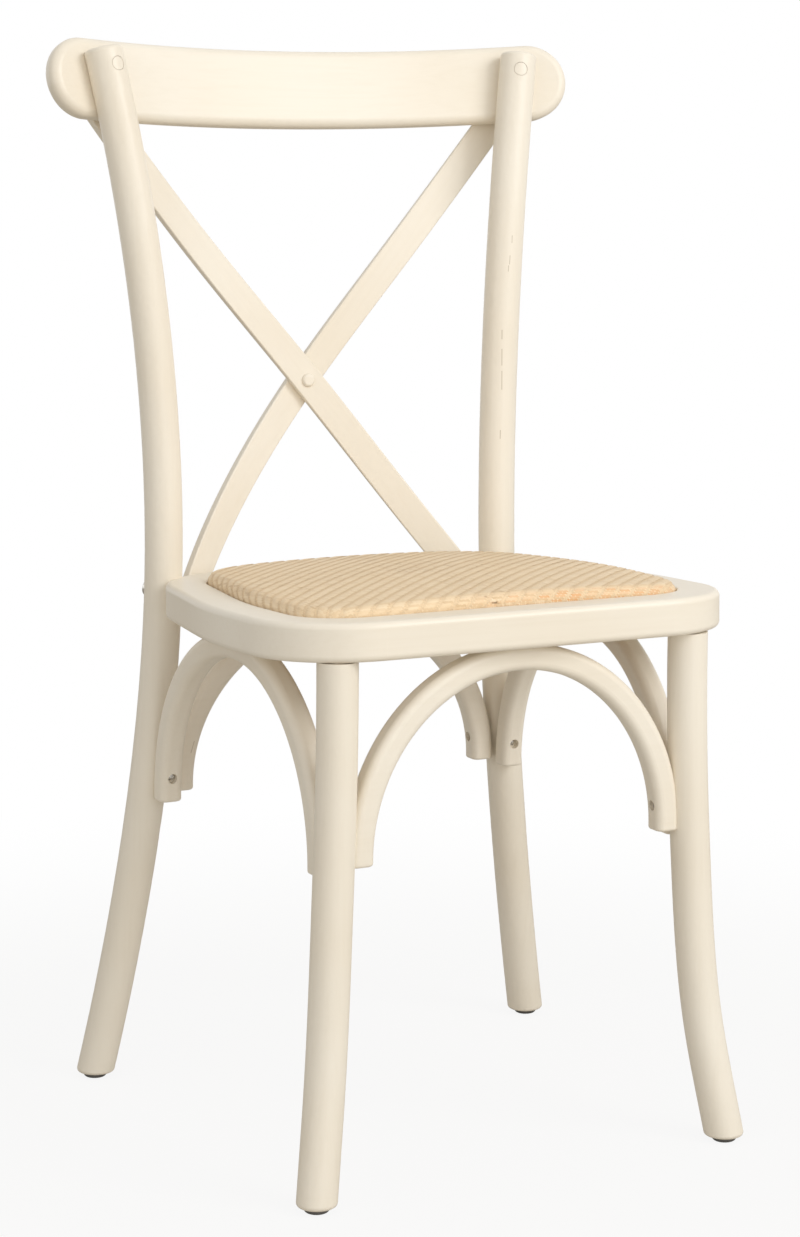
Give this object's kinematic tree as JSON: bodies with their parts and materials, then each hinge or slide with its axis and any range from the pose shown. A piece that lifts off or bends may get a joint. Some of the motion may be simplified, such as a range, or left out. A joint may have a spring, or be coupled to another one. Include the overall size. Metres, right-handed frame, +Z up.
{
  "type": "cross back dining chair",
  "caption": "Dining chair of bent round rods with crossed slats under a curved crest rail, bent arches under the seat and a woven rattan seat pad.",
  "frame": {"origin": "on the floor under the middle of the chair's box", "axes": "+Z up, +X to the right seen from the front, +Y towards the back rest, the sitter faces -Y"},
  "size_m": [0.488, 0.4582, 0.8883],
  "materials": {
    "painted_wood": "satin cream paint over wood",
    "painted_stud": "satin cream paint",
    "rattan": "woven natural rattan",
    "plywood": "raw plywood",
    "foam": "upholstery foam",
    "steel": "zinc plated",
    "glide": "dark grey plastic"
  },
  "bodies": {
    "root": {"back_post_left": "painted_wood", "back_post_right": "painted_wood", "board_screws": "steel", "crest_bolt_left": "steel", "crest_bolt_right": "steel", "crest_nuts": "steel", "crest_plug_left": "painted_wood", "crest_plug_right": "painted_wood", "crest_rail": "painted_wood", "cross_slat_front": "painted_wood", "cross_slat_rear": "painted_wood", "cross_stud": "painted_stud", "front_arch": "painted_wood", "front_arch_screws": "steel", "front_leg_left": "painted_wood", "front_leg_right": "painted_wood", "glide_back_left": "glide", "glide_back_right": "glide", "glide_front_left": "glide", "glide_front_right": "glide", "left_arch": "painted_wood", "left_arch_screws": "steel", "rattan_cover": "rattan", "rear_arch": "painted_wood", "rear_arch_screws": "steel", "right_arch": "painted_wood", "right_arch_screws": "steel", "seat_board": "plywood", "seat_bolt_left": "steel", "seat_bolt_right": "steel", "seat_foam": "foam", "seat_inserts": "steel", "seat_ring": "painted_wood", "slat_foot_screws": "steel", "slat_top_screws": "steel"}
  },
  "joints": []
}
